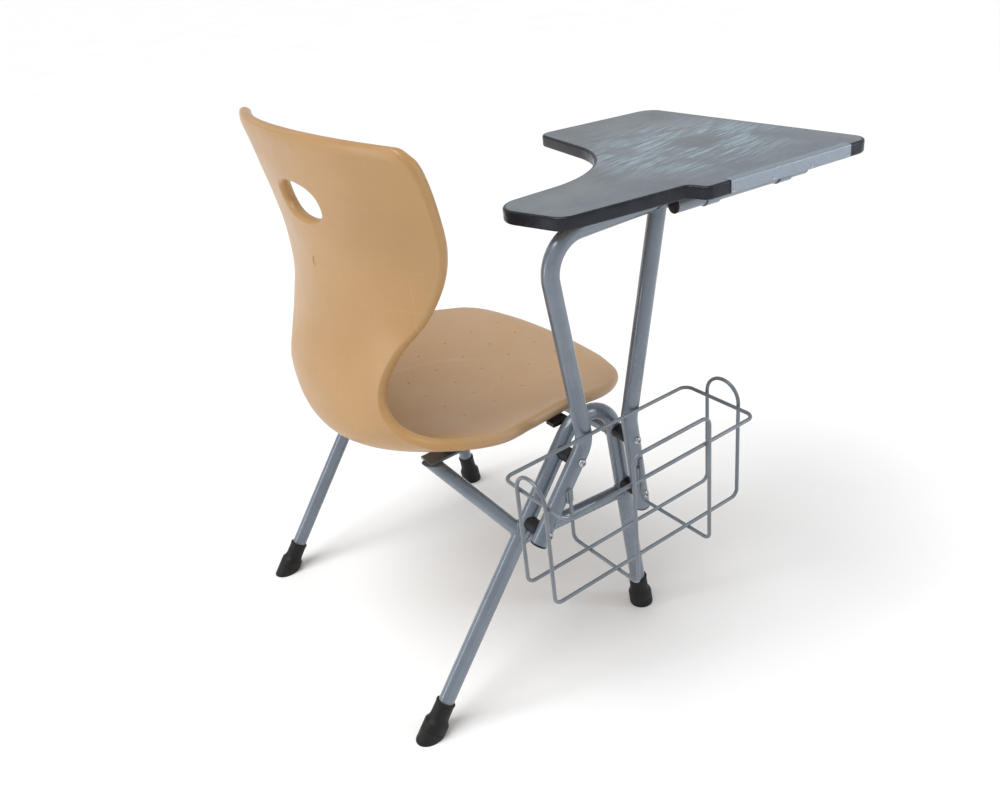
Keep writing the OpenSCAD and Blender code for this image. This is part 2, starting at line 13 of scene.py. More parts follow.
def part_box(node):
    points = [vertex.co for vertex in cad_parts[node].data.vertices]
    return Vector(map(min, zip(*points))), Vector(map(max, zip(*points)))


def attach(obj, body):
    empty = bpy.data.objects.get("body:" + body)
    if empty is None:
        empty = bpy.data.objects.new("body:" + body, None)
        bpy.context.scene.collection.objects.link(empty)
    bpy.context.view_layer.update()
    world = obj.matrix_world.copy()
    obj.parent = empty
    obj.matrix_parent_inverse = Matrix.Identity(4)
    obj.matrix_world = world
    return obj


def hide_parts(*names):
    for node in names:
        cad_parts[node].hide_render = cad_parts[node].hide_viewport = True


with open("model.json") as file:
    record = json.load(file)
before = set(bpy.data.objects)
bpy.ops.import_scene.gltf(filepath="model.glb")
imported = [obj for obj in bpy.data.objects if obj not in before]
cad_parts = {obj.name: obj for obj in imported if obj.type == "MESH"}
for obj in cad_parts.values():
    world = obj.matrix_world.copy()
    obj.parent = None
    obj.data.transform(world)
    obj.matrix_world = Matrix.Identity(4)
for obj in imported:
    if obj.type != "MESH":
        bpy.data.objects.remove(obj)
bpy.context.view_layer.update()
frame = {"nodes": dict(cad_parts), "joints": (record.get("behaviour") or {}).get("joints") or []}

MM = 0.001
CHAIR, TABLET = "chair", "tablet"
nodes = frame["nodes"]


def centre(node):
    """Middle of a CAD node's box."""
    low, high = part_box(node)
    return (low + high) / 2


def extent(node):
    """Side lengths of a CAD node's box."""
    low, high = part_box(node)
    return high - low


def in_mm(pairs):
    """Pairs written in millimetres, as metres."""
    return [(a * MM, b * MM) for a, b in pairs]


# ---- sizes: from the frame, or the same driving values as the CAD ----
side_x = centre("side_frame_left").x
tube_r = extent("side_frame_left").x / 2
support_x = centre("support_rear").x
tablet_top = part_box("tablet_laminate")[1].z
tablet_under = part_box("tablet_edge")[0].z
wire_r = extent("basket_rim").z / 2
rail_r = 11 * MM
foot_y = 220 * MM
rear_lean = math.radians(37.2)
front_lean = math.radians(6.3)
arch_r = 53 * MM


# ---- camera ----
CAMERA_PLACE = Vector((-1.1725, 0.5986, 1.1086))
CAMERA_TURN = math.radians(237.64)
CAMERA_RISE = math.radians(29.07)
CAMERA_ROLL = math.radians(-7.385)
CAMERA_LENS, SENSOR = 32.7, 36
CAMERA_SHIFT = (0.0028, -0.0021)


def make_camera():
    back = Vector((math.sin(CAMERA_TURN) * math.cos(CAMERA_RISE),
                   -math.cos(CAMERA_TURN) * math.cos(CAMERA_RISE), math.sin(CAMERA_RISE)))
    right = Vector((0, 0, 1)).cross(back).normalized()
    up = back.cross(right)
    level = Matrix((right, up, back)).transposed().to_4x4()
    data = bpy.data.cameras.new("camera")
    data.sensor_width = SENSOR
    data.lens = CAMERA_LENS
    data.shift_x, data.shift_y = CAMERA_SHIFT
    camera = bpy.data.objects.new("camera", data)
    rolled = level @ Matrix.Rotation(CAMERA_ROLL, 4, "Z")
    camera.matrix_world = Matrix.Translation(CAMERA_PLACE) @ rolled
    bpy.context.scene.collection.objects.link(camera)
    bpy.context.scene.camera = camera


make_camera()


# ---- materials ----
class Shader:
    """A Principled material and short calls that add nodes to it."""

    def __init__(self, name, **inputs):
        self.material = bpy.data.materials.new(name)
        self.material.use_nodes = True
        self.tree = self.material.node_tree
        self.bsdf = self.tree.nodes["Principled BSDF"]
        for key, value in inputs.items():
            socket = self.bsdf.inputs[key.replace("_", " ")]
            socket.default_value = value
        self.place = self.node("ShaderNodeTexCoord").outputs["Object"]

    def node(self, kind, **settings):
        made = self.tree.nodes.new(kind)
        for key, value in settings.items():
            setattr(made, key, value)
        return made

    def link(self, source, target):
        self.tree.links.new(source, target)

    def stretch(self, scale, turn=0.0):
        """Object coordinates, turned about Z and then scaled along X, Y and Z."""
        turned = self.node("ShaderNodeVectorRotate", rotation_type="Z_AXIS")
        self.link(self.place, turned.inputs["Vector"])
        turned.inputs["Angle"].default_value = turn
        made = self.node("ShaderNodeVectorMath", operation="MULTIPLY")
        self.link(turned.outputs["Vector"], made.inputs[0])
        made.inputs[1].default_value = scale
        return made.outputs["Vector"]

    def noise(self, scale, detail=4.0, roughness=0.55, vector=None):
        made = self.node("ShaderNodeTexNoise")
        made.inputs["Scale"].default_value = scale
        made.inputs["Detail"].default_value = detail
        made.inputs["Roughness"].default_value = roughness
        self.link(vector or self.place, made.inputs["Vector"])
        return made.outputs["Fac"]

    def ramp(self, value, low, high, to_low=0.0, to_high=1.0):
        """Smooth step of a value from low..high to to_low..to_high."""
        made = self.node("ShaderNodeMapRange", interpolation_type="SMOOTHSTEP")
        made.inputs["From Min"].default_value = low
        made.inputs["From Max"].default_value = high
        made.inputs["To Min"].default_value = to_low
        made.inputs["To Max"].default_value = to_high
        self.link(value, made.inputs["Value"])
        return made.outputs["Result"]

    def maths(self, kind, a, b=None):
        """Maths node on sockets or numbers."""
        made = self.node("ShaderNodeMath", operation=kind)
        for socket, value in zip(made.inputs, (a, b)):
            if value is None:
                continue
            if isinstance(value, (int, float)):
                socket.default_value = value
            else:
                self.link(value, socket)
        return made.outputs["Value"]

    def blend(self, factor, a, b):
        """Mix of two colours, each a socket or a tuple."""
        made = self.node("ShaderNodeMix", data_type="RGBA")
        self.link(factor, made.inputs["Factor"])
        for socket, value in ((made.inputs["A"], a), (made.inputs["B"], b)):
            if isinstance(value, tuple):
                socket.default_value = (*value, 1.0)
            else:
                self.link(value, socket)
        return made.outputs["Result"]

    def axis(self, name):
        """One object coordinate."""
        made = self.node("ShaderNodeSeparateXYZ")
        self.link(self.place, made.inputs["Vector"])
        return made.outputs[name]

    def colour(self, source):
        self.link(source, self.bsdf.inputs["Base Color"])

    def rough(self, source):
        self.link(source, self.bsdf.inputs["Roughness"])

    def bump(self, height, depth):
        """Adds relief, depth metres high, to what is there already."""
        made = self.node("ShaderNodeBump")
        made.inputs["Strength"].default_value = 1.0
        made.inputs["Distance"].default_value = depth
        self.link(height, made.inputs["Height"])
        last = self.bsdf.inputs["Normal"]
        if last.is_linked:
            self.link(last.links[0].from_socket, made.inputs["Normal"])
        self.link(made.outputs["Normal"], last)


def lattice(s, spacing, middle, reach):
    """Distance in metres to the nearest point of a square grid in X and Y."""
    offsets = []
    for name, origin in (("X", middle[0]), ("Y", middle[1])):
        cells = s.maths("DIVIDE", s.maths("SUBTRACT", s.axis(name), origin), spacing)
        near = s.maths("MAXIMUM", s.maths("MINIMUM", s.maths("ROUND", cells), reach), -reach)
        off = s.maths("MULTIPLY", s.maths("SUBTRACT", cells, near), spacing)
        offsets.append(s.maths("MULTIPLY", off, off))
    return s.maths("SQRT", s.maths("ADD", *offsets))


def mould_lines(s, name, spacing):
    """Thin line every spacing metres along one axis: 1 on the line and 0 off it."""
    cells = s.maths("DIVIDE", s.axis(name), spacing)
    off = s.maths("ABSOLUTE", s.maths("SUBTRACT", cells, s.maths("ROUND", cells)))
    return s.ramp(off, 0.0, 0.016, 1.0, 0.0)


DIMPLE_PITCH, DIMPLE_MIDDLE, DIMPLE_REACH = 0.057, (0.0, -0.122), 2.0


def shell_material():
    s = Shader("shell_plastic", Specular_IOR_Level=0.45)
    broad = s.ramp(s.noise(5.0, 3), 0.35, 0.65)
    fine = s.ramp(s.noise(420.0, 2), 0.3, 0.7)
    base = s.blend(broad, (0.430, 0.243, 0.094), (0.468, 0.270, 0.107))
    base = s.blend(s.maths("MULTIPLY", fine, 0.30), base, (0.392, 0.218, 0.083))
    seat = s.maths("MULTIPLY", s.ramp(s.axis("Y"), 0.0, 0.09, 1.0, 0.0),
                   s.ramp(s.noise(11.0, 4), 0.25, 0.6, 0.55, 0.85))
    base = s.blend(seat, base, (0.445, 0.298, 0.178))
    scuff = s.noise(60.0, 6, 0.7, s.stretch((1.0, 0.25, 0.6), 0.5))
    marks = s.ramp(scuff, 0.66, 0.74)
    base = s.blend(s.maths("MULTIPLY", marks, 0.22), base, (0.60, 0.46, 0.30))
    lines = s.maths("MAXIMUM", mould_lines(s, "X", 0.064), mould_lines(s, "Z", 0.058))
    lines = s.maths("MULTIPLY", lines, s.ramp(s.noise(13.0, 2), 0.45, 0.6))
    base = s.blend(s.maths("MULTIPLY", lines, 0.16), base, (0.62, 0.47, 0.30))
    away = lattice(s, DIMPLE_PITCH, DIMPLE_MIDDLE, DIMPLE_REACH)
    dimple_relief_and_shade = s.ramp(away, 0.0008, 0.0022, 1.0, 0.0)
    # Painted shade: each dimple is darkened as shade in its pit; the same mask also shapes the
    # dimple bump below.
    base = s.blend(s.maths("MULTIPLY", dimple_relief_and_shade, 0.55), base, (0.22, 0.14, 0.075))
    s.colour(base)
    s.rough(s.ramp(s.noise(9.0, 5), 0.3, 0.7, 0.28, 0.38))
    s.bump(s.noise(900.0, 2, 0.5), 0.00012)
    s.bump(s.noise(14.0, 2, 0.5), 0.0008)
    s.bump(s.maths("SUBTRACT", 1.0, dimple_relief_and_shade), 0.0012)
    return s.material


def paint_material(name, light, dark, rough):
    s = Shader(name, Metallic=0.35, Coat_Weight=0.45, Coat_Roughness=0.14)
    cloud = s.ramp(s.noise(12.0, 4), 0.3, 0.7)
    base = s.blend(cloud, dark, light)
    fleck = s.ramp(s.noise(1400.0, 2), 0.45, 0.75)
    base = s.blend(s.maths("MULTIPLY", fleck, 0.15), base, tuple(1.2 * c for c in light))
    chips = s.ramp(s.noise(120.0, 8, 0.75), 0.72, 0.76)
    base = s.blend(s.maths("MULTIPLY", chips, 0.22), base, tuple(0.5 * c for c in dark))
    s.colour(base)
    s.rough(s.ramp(s.noise(40.0, 5), 0.3, 0.7, rough - 0.06, rough + 0.08))
    s.bump(s.noise(260.0, 3, 0.5), 0.00010)
    return s.material


def plastic_material(name, tone, rough, grain=500.0, depth=0.00012):
    s = Shader(name, Specular_IOR_Level=0.28)
    cloud = s.ramp(s.noise(30.0, 5, 0.6), 0.35, 0.7)
    s.colour(s.blend(cloud, tone, tuple(1.6 * c + 0.002 for c in tone)))
    s.rough(s.ramp(s.noise(80.0, 4), 0.3, 0.7, rough - 0.08, rough + 0.10))
    s.bump(s.noise(grain, 3, 0.6), depth)
    return s.material


def laminate_material():
    s = Shader("laminate_scuffed", Specular_IOR_Level=0.4)
    cloud = s.ramp(s.noise(7.0, 6, 0.65), 0.3, 0.7)
    base = s.blend(cloud, (0.135, 0.152, 0.170), (0.180, 0.204, 0.224))
    speck = s.ramp(s.noise(700.0, 2), 0.35, 0.7)
    base = s.blend(s.maths("MULTIPLY", speck, 0.3), base, (0.19, 0.21, 0.225))
    middle = centre("tablet_laminate")
    x = s.maths("SUBTRACT", s.axis("X"), middle.x - 0.02)
    y = s.maths("MULTIPLY", s.maths("SUBTRACT", s.axis("Y"), middle.y - 0.09), 0.8)
    away = s.maths("SQRT", s.maths("ADD", s.maths("MULTIPLY", x, x), s.maths("MULTIPLY", y, y)))
    zone = s.ramp(away, 0.06, 0.17, 1.0, 0.12)
    patch = s.maths("MULTIPLY", s.ramp(s.noise(13.0, 3, 0.5), 0.38, 0.54), zone)
    streak = s.noise(270.0, 5, 0.6, s.stretch((1.0, 0.05, 1.0), -0.12))
    streaks = s.maths("MULTIPLY", s.ramp(streak, 0.48, 0.54), patch)
    base = s.blend(s.maths("MULTIPLY", streaks, 0.85), base, (0.31, 0.40, 0.46))
    fine = s.noise(330.0, 4, 0.6, s.stretch((1.0, 0.05, 1.0), -0.05))
    scratches = s.ramp(fine, 0.62, 0.68)
    base = s.blend(s.maths("MULTIPLY", scratches, 0.25), base, (0.30, 0.36, 0.41))
    s.colour(base)
    s.rough(s.maths("ADD", s.ramp(s.noise(22.0, 5), 0.3, 0.7, 0.40, 0.52),
                    s.maths("MULTIPLY", streaks, 0.12)))
    s.bump(s.noise(900.0, 2), 0.00006)
    s.bump(streaks, 0.00005)
    return s.material


def strip_material():
    s = Shader("strip_brushed", Metallic=0.6)
    brushed = s.noise(900.0, 3, 0.6, s.stretch((1.0, 0.02, 1.0), math.radians(-6.8)))
    base = s.blend(s.ramp(brushed, 0.3, 0.7), (0.25, 0.295, 0.35), (0.32, 0.37, 0.425))
    dull = s.ramp(s.noise(35.0, 6, 0.7), 0.5, 0.7)
    s.colour(s.blend(s.maths("MULTIPLY", dull, 0.5), base, (0.26, 0.30, 0.35)))
    s.rough(s.ramp(brushed, 0.3, 0.7, 0.34, 0.50))
    s.bump(brushed, 0.00005)
    return s.material


def steel_material(name, light, dark, rough):
    s = Shader(name, Metallic=1.0)
    base = s.blend(s.ramp(s.noise(300.0, 5, 0.6), 0.3, 0.7), dark, light)
    s.colour(base)
    s.rough(s.ramp(s.noise(180.0, 4), 0.3, 0.7, rough - 0.08, rough + 0.10))
    s.bump(s.noise(700.0, 3), 0.00008)
    return s.material


def board_material():
    s = Shader("board_chips")
    chips = s.node("ShaderNodeTexVoronoi")
    chips.inputs["Scale"].default_value = 1.0
    s.link(s.stretch((420.0, 190.0, 500.0), 0.6), chips.inputs["Vector"])
    tone = s.node("ShaderNodeSeparateColor")
    s.link(chips.outputs["Color"], tone.inputs["Color"])
    base = s.blend(tone.outputs["Red"], (0.26, 0.165, 0.085), (0.52, 0.37, 0.22))
    dust = s.ramp(s.noise(60.0, 5), 0.4, 0.7)
    s.colour(s.blend(s.maths("MULTIPLY", dust, 0.4), base, (0.38, 0.27, 0.16)))
    s.rough(s.ramp(s.noise(150.0, 3), 0.3, 0.7, 0.65, 0.85))
    s.bump(tone.outputs["Green"], 0.0003)
    return s.material


SHELL = shell_material()
PAINT = paint_material("frame_powder_coat", (0.185, 0.220, 0.262), (0.140, 0.170, 0.208), 0.30)
WIRE = paint_material("wire_powder_coat", (0.175, 0.200, 0.225), (0.125, 0.147, 0.170), 0.34)
BLACK = plastic_material("black_moulded", (0.008, 0.008, 0.010), 0.42)
RUBBER = plastic_material("boot_rubber", (0.006, 0.006, 0.006), 0.50, 350.0, 0.0002)
CAST = plastic_material("cast_edge", (0.010, 0.012, 0.019), 0.26, 160.0, 0.0003)
LAMINATE = laminate_material()
STRIP = strip_material()
ZINC = steel_material("bright_zinc", (0.50, 0.51, 0.53), (0.34, 0.35, 0.37), 0.30)
DARK_ZINC = steel_material("black_zinc", (0.10, 0.10, 0.11), (0.05, 0.05, 0.055), 0.42)
BOARD = board_material()

CAD_LOOKS = {
    "cross_tube": PAINT, "seat_rail_right": PAINT, "seat_rail_left": PAINT,
    "seat_pads": BLACK, "seat_spacers": BLACK, "seat_screws": DARK_ZINC,
    "support_spacers": BLACK, "support_nuts": ZINC, "hinge_lugs": PAINT,
    "hinge_saddles": PAINT, "saddle_screws": ZINC, "strip_screws": ZINC,
    "tablet_board": BOARD,
}
for name, look in CAD_LOOKS.items():
    worn = nodes[name].data.materials
    worn.clear()
    worn.append(look)


# ---- pieces ----
def add_piece(name, verts, faces, look, slot, body=CHAIR, replaces=(), smooth=35):
    """A mesh piece in the object's frame that rides on a body. Edges that turn by more
    than smooth degrees stay sharp."""
    mesh = bpy.data.meshes.new(name)
    mesh.from_pydata([tuple(v) for v in verts], [], [tuple(f) for f in faces])
    work = bmesh.new()
    work.from_mesh(mesh)
    bmesh.ops.remove_doubles(work, verts=work.verts, dist=2e-6)
    bmesh.ops.recalc_face_normals(work, faces=work.faces)
    for edge in work.edges:
        turned = len(edge.link_faces) == 2 and edge.calc_face_angle() > math.radians(smooth)
        edge.smooth = not turned
    for face in work.faces:
        face.smooth = True
    work.to_mesh(mesh)
    work.free()
    mesh.materials.append(look)
    piece = bpy.data.objects.new(name, mesh)
    bpy.context.scene.collection.objects.link(piece)
    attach(piece, body)
    if replaces:
        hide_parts(*replaces)
    return piece


def joined(parts):
    """Vertices and faces of several (verts, faces) shapes as one."""
    verts, faces = [], []
    for v, f in parts:
        faces += [[i + len(verts) for i in face] for face in f]
        verts += list(v)
    return verts, faces


def unit(v):
    """Direction of a vector."""
    return v / np.linalg.norm(v)


def point(*v):
    """Numbers as an array."""
    return np.array(v, float)


def frame_of(axis):
    """Two directions square to axis."""
    axis = unit(axis)
    side = point(1, 0, 0) if abs(axis[0]) < 0.9 else point(0, 1, 0)
    u = unit(np.cross(axis, side))
    return u, np.cross(axis, u)


def rounded(points, radii, closed=False, steps=14):
    """Points of a line that turns with a true arc at each corner."""
    points = [np.asarray(p, float) for p in points]
    n = len(points)
    radii = [radii] * n if np.isscalar(radii) else radii
    line = []
    for i, here in enumerate(points):
        if not closed and i in (0, n - 1):
            line.append(here)
            continue
        came = unit(here - points[i - 1])
        goes = unit(points[(i + 1) % n] - here)
        turn = math.acos(np.clip(came @ goes, -1, 1))
        cut = radii[i] * math.tan(turn / 2)
        start = here - came * cut
        inward = unit(goes - came * (came @ goes))
        middle = start + inward * radii[i]
        for k in range(steps + 1):
            a = turn * k / steps
            line.append(middle + radii[i] * (math.sin(a) * came - math.cos(a) * inward))
    return line


def sweep(line, radius, sides=32, closed=False):
    """Round bar along a line, with its rings carried square to it. The radius is a
    number, or one for each point."""
    line = [np.asarray(p, float) for p in line]
    n = len(line)
    radius = [radius] * n if np.isscalar(radius) else radius
    verts, faces = [], []
    u = None
    for i, here in enumerate(line):
        before = line[i - 1] if closed or i else here
        after = line[(i + 1) % n] if closed or i < n - 1 else here
        axis = unit(after - before)
        u = frame_of(axis)[0] if u is None else unit(u - axis * (u @ axis))
        v = np.cross(axis, u)
        for k in range(sides):
            a = 2 * math.pi * k / sides
            verts.append(here + radius[i] * (math.cos(a) * u + math.sin(a) * v))
    for i in range(n if closed else n - 1):
        j = (i + 1) % n
        shift = 0
        if j == 0:
            # the last ring may have turned against the first
            gaps = [np.linalg.norm(verts[i * sides + k] - verts[0]) for k in range(sides)]
            shift = gaps.index(min(gaps))
        for k in range(sides):
            m = (k + 1) % sides
            faces.append((i * sides + (k + shift) % sides, i * sides + (m + shift) % sides,
                          j * sides + m, j * sides + k))
    if not closed:
        faces += end_faces(n, sides)
    return verts, faces


def end_faces(rings, sides):
    """The two faces that close a stack of rings."""
    last = (rings - 1) * sides
    return [tuple(range(sides))[::-1], tuple(range(last, last + sides))]


def ring_faces(rings, sides, closed=False):
    """Faces between the neighbours of a stack of rings, the last and first too if closed."""
    faces = []
    for i in range(rings if closed else rings - 1):
        j = (i + 1) % rings
        for k in range(sides):
            m = (k + 1) % sides
            faces.append((i * sides + k, i * sides + m, j * sides + m, j * sides + k))
    return faces


def lathe(profile, start, towards, sides=48, hexed=()):
    """Turned shape: (radius, distance) pairs about the line from start. Rings listed in
    hexed are hexagons."""
    start = np.asarray(start, float)
    axis = unit(np.asarray(towards, float) - start)
    u, v = frame_of(axis)
    flat = math.pi / 3
    verts = []
    for i, (r, along) in enumerate(profile):
        for k in range(sides):
            a = 2 * math.pi * k / sides
            reach = r
            if i in hexed:
                reach = r * math.cos(flat / 2) / math.cos((a % flat) - flat / 2)
            verts.append(start + axis * along + reach * (math.cos(a) * u + math.sin(a) * v))
    rings = len(profile)
    return verts, ring_faces(rings, sides) + end_faces(rings, sides)


WELD_BEAD = 1.4 * MM


def weld_ring(start, towards, bar_r, pin_a, pin_b, pin_r, bead=WELD_BEAD):
    """Weld bead where a bar that runs from start meets a round pin."""
    start, towards = np.asarray(start, float), np.asarray(towards, float)
    pin_a, pin_b = np.asarray(pin_a, float), np.asarray(pin_b, float)
    axis, pin = unit(towards - start), unit(pin_b - pin_a)
    u, v = frame_of(axis)
    ring, sizes = [], []
    steps = 96
    for k in range(steps):
        a = 2 * math.pi * k / steps
        from_bar = start + bar_r * (math.cos(a) * u + math.sin(a) * v)
        offset = from_bar - pin_a
        off = offset - pin * (offset @ pin)
        move = axis - pin * (axis @ pin)
        # the line along the bar meets the pin where p2 t^2 + p1 t + p0 = 0
        p2, p1, p0 = move @ move, 2 * off @ move, off @ off - pin_r ** 2
        along = (-p1 + math.sqrt(max(p1 * p1 - 4 * p2 * p0, 0))) / (2 * p2)
        ring.append(from_bar + axis * along)
        ripple = 0.16 * math.sin(23 * a) + 0.10 * math.sin(1.7 + 5 * a)
        sizes.append(bead * (1 + ripple))
    return sweep(ring, sizes, 12, closed=True)


# ---- seat shell ----
# The same stations as the CAD shell, in millimetres: middle of the wall at the centre
# line, half width, and middle of the wall at the edge
STATIONS = np.array([
    [-295, -8, 120, -285, -6],
    [-285, -4, 180, -265, 0],
    [-262, 0, 215, -232, 8],
    [-220, 0, 232, -185, 15],
    [-150, -4, 240, -110, 30],
    [-70, -10, 248, -40, 33],
    [15, -12, 250, 20, 35],
    [115, -5, 220, 90, 45],
    [160, 20, 180, 125, 63],
    [162, 70, 152, 135, 90],
    [148, 125, 146, 127, 126],
    [132, 180, 162, 105, 170],
    [124, 235, 198, 76, 218],
    [121, 288, 230, 60, 275],
    [124, 338, 250, 60, 325],
    [131, 388, 258, 69, 375],
    [139, 432, 258, 79, 420],
    [144, 456, 252, 88, 446],
    [144, 470, 230, 94, 460]], float) * MM
LAST = len(STATIONS) - 1
WAIST_ROW, BACK_ROW = 11.0, 13.0
# A row past the top that makes the side line arrive level, so the top corners are round
PAST_TOP = np.array([144, 456, 208, 107, 450], float) * MM
SEAT_Z = 402 * MM
RIM_R = 11 * MM
WALL_HALF = 8.8 * MM
STEP_SHARE = 0.55       # length of the step down, as a share of the rim's radius
GRIP_W, GRIP_H, GRIP_Z = 114 * MM, 53 * MM, 366 * MM
GRIP_POWER = 0.86


def shell_rows(s):
    """Catmull-Rom rows of the stations at the places s."""
    s = np.asarray(s, float)
    i = np.minimum(s.astype(int), LAST - 1)
    u = (s - i)[..., None]
    a, b = STATIONS[np.maximum(i - 1, 0)], STATIONS[i]
    c, d = STATIONS[i + 1], np.vstack([STATIONS, PAST_TOP])[i + 2]
    return 0.5 * (2 * b + (c - a) * u + (2 * a - 5 * b + 4 * c - d) * u ** 2
                  + (3 * b - a - 3 * c + d) * u ** 3)


def shell_mid(s, t):
    """Middle of the wall at row s and share t of the half width."""
    p = shell_rows(s)
    t = np.asarray(t, float)
    q = t ** 2
    return np.stack([p[..., 2] * t, p[..., 0] + (p[..., 3] - p[..., 0]) * q,
                     SEAT_Z + p[..., 1] + (p[..., 4] - p[..., 1]) * q], -1)


def shell_normal(s, t):
    """Normal of the wall. Near the top corners it is taken a little further in."""
    e = 0.01
    s = np.asarray(s, float)
    inner = 1 - 0.15 * np.clip(s - (LAST - 2), 0, 1)
    t = np.clip(t, -inner, inner)
    across = shell_mid(s, np.minimum(t + e, 1)) - shell_mid(s, np.maximum(t - e, -1))
    along = shell_mid(np.minimum(s + e, LAST), t) - shell_mid(np.maximum(s - e, 0), t)
    n = np.cross(across, along)
    return n / np.linalg.norm(n, axis=-1, keepdims=True)


def nearest(points, line):
    """Distance of each point from a closed line."""
    a, b = line, np.roll(line, -1, 0)
    best = np.full(len(points), 9.0)
    for start, end in zip(a, b):
        d = end - start
        size = d @ d
        if size == 0:
            continue
        u = np.clip((points - start) @ d / size, 0, 1)
        best = np.minimum(best, np.linalg.norm(points - start - u[:, None] * d, axis=1))
    return best


def bead(d, radius):
    """Half thickness at distance d from an edge: a round bead, then a soft step down."""
    x = np.clip(d / radius, 0, 1)
    turned = radius * np.sqrt(1 - (1 - x) ** 2)
    fall = np.clip((d - radius) / (STEP_SHARE * radius), 0, 1)
    fall = fall * fall * (3 - 2 * fall)
    return np.where(d < radius, turned, radius + (WALL_HALF - radius) * fall)


def grip_outline(count):
    """Oval round the hand hole as (x, height above the seat), a little fuller than an ellipse."""
    pts = []
    for k in range(count):
        a = 2 * math.pi * k / count - math.pi / 2
        x, z = (math.copysign(abs(v) ** GRIP_POWER, v) for v in (math.cos(a), math.sin(a)))
        pts.append((GRIP_W / 2 * x, GRIP_Z + GRIP_H / 2 * z))
    return pts


def shell_place(x, z):
    """Row and share (s, t) at which the upper back is at x and z above the seat."""
    low, high = WAIST_ROW, float(LAST)
    for _ in range(40):
        s = (low + high) / 2
        p = shell_rows(s)
        t = x / p[2]
        if p[1] + (p[4] - p[1]) * t * t < z:
            low = s
        else:
            high = s
    return s, x / shell_rows(s)[2]


EDGE_STEPS = np.array([0, 0.25, 1.0, 2.2, 3.8, 5.8, 8.0, 10.5, 13.0,
                       15.5, 18.5, 22.0, 27.0]) * MM


def shell_grid():
    """Rows s and shares t, closing up towards the edges."""
    inner = np.linspace(-1, 1, 85)
    close = EDGE_STEPS / (205 * MM)
    inner = inner[np.abs(inner) < 1 - close[-1] - 0.02]
    cols = np.concatenate([-1 + close, inner, (1 - close)[::-1]])
    front = np.interp(EDGE_STEPS, [0, 10 * MM, 33 * MM], [0, 1, 2])
    top = LAST - np.interp(EDGE_STEPS, [0, 14 * MM, 38 * MM], [0, 1, 2])
    rows = np.concatenate([front, np.arange(2.0, BACK_ROW, 0.125),
                           np.arange(BACK_ROW, LAST - 1.6, 0.0625), top[::-1]])
    return rows, cols


def grip_window(rows, cols):
    """Rectangle of cells round the hand hole: its row and column limits, and the grid
    places on its border in order."""
    row_low = int(np.searchsorted(rows, shell_place(0, GRIP_Z - GRIP_H)[0]))
    row_high = int(np.searchsorted(rows, shell_place(0, GRIP_Z + GRIP_H * 0.95)[0]))
    col_high = int(np.searchsorted(cols, shell_place(GRIP_W * 0.78, GRIP_Z)[1]))
    col_low = len(cols) - 1 - col_high
    middle = (len(cols) - 1) // 2
    ring = [(row_low, j) for j in range(middle, col_high)]
    ring += [(i, col_high) for i in range(row_low, row_high)]
    ring += [(row_high, j) for j in range(col_high, col_low, -1)]
    ring += [(i, col_low) for i in range(row_high, row_low, -1)]
    ring += [(row_low, j) for j in range(col_low, middle)]
    return (row_low, row_high, col_low, col_high), ring


def grip_bearing(q):
    """Direction of each (s, t) from the middle of the hand hole, unwrapped."""
    p = shell_mid(q[:, 0], q[:, 1])
    return np.unwrap(np.arctan2(p[:, 2] - SEAT_Z - GRIP_Z, p[:, 0] * GRIP_H / GRIP_W))


def grip_rings(around, outline):
    """Rings of (s, t) from the hand hole's outline out to the places around it, each of
    which is paired with the outline's point in the same direction."""
    turn, outline_turn = grip_bearing(around), grip_bearing(outline)
    apart = (outline_turn[None, :] - turn[:, None] + math.pi) % (2 * math.pi) - math.pi
    start = outline[np.argmin(np.abs(apart), axis=1)]
    shares = np.concatenate([EDGE_STEPS[:9] / (26 * MM), [0.62, 0.75, 0.88]])
    return [start + (around - start) * u for u in shares]


def shell_faces(nr, nc, window, ring, rings):
    """Faces of the grid outside the window, and of the rings inside it."""
    row_low, row_high, col_low, col_high = window
    faces = []
    for i in range(nr - 1):
        for j in range(nc - 1):
            if not (row_low <= i < row_high and col_low <= j < col_high):
                a = i * nc + j
                faces.append((a, a + 1, a + nc + 1, a + nc))
    n = len(ring)
    loops = [[nr * nc + r * n + k for k in range(n)] for r in range(rings)]
    loops.append([i * nc + j for i, j in ring])
    for inner, outer in zip(loops[:-1], loops[1:]):
        for k in range(n):
            m = (k + 1) % n
            faces.append((inner[k], inner[m], outer[m], outer[k]))
    return faces


def build_shell():
    rows, cols = shell_grid()
    nr, nc = len(rows), len(cols)
    s, t = np.meshgrid(rows, cols, indexing="ij")
    st = np.stack([s.ravel(), t.ravel()], 1)
    front, left, top, right = st[:nc], st[nc - 1::nc], st[-nc:][::-1], st[::nc][::-1]
    border = np.concatenate([front, left[1:], top[1:], right[1:-1]])
    window, ring = grip_window(rows, cols)
    outline = np.array([shell_place(x, z) for x, z in grip_outline(720)])
    rings = grip_rings(np.array([st[i * nc + j] for i, j in ring]), outline)
    st = np.concatenate([st] + rings)

    mid = shell_mid(st[:, 0], st[:, 1])
    rim_bead = bead(nearest(mid, shell_mid(border[:, 0], border[:, 1])), RIM_R)
    lip_bead = bead(nearest(mid, shell_mid(outline[::6, 0], outline[::6, 1])), RIM_R * 0.95)
    half = np.minimum(rim_bead, lip_bead)
    grid_end = nr * nc
    for edge in (slice(0, nc), slice(grid_end - nc, grid_end), slice(0, grid_end, nc),
                 slice(nc - 1, grid_end, nc), slice(grid_end, grid_end + len(ring))):
        half[edge] = 0

    faces = shell_faces(nr, nc, window, ring, len(rings))
    used = sorted({i for face in faces for i in face})
    number = {old: new for new, old in enumerate(used)}
    faces = [[number[i] for i in face] for face in faces]
    offset = (shell_normal(st[:, 0], st[:, 1]) * half[:, None])[used]
    verts = np.concatenate([mid[used] + offset, mid[used] - offset])
    faces += [[i + len(used) for i in face[::-1]] for face in faces]
    add_piece("seat_shell_moulding", verts, faces, SHELL, "shell",
              replaces=["seat_shell"], smooth=60)


build_shell()


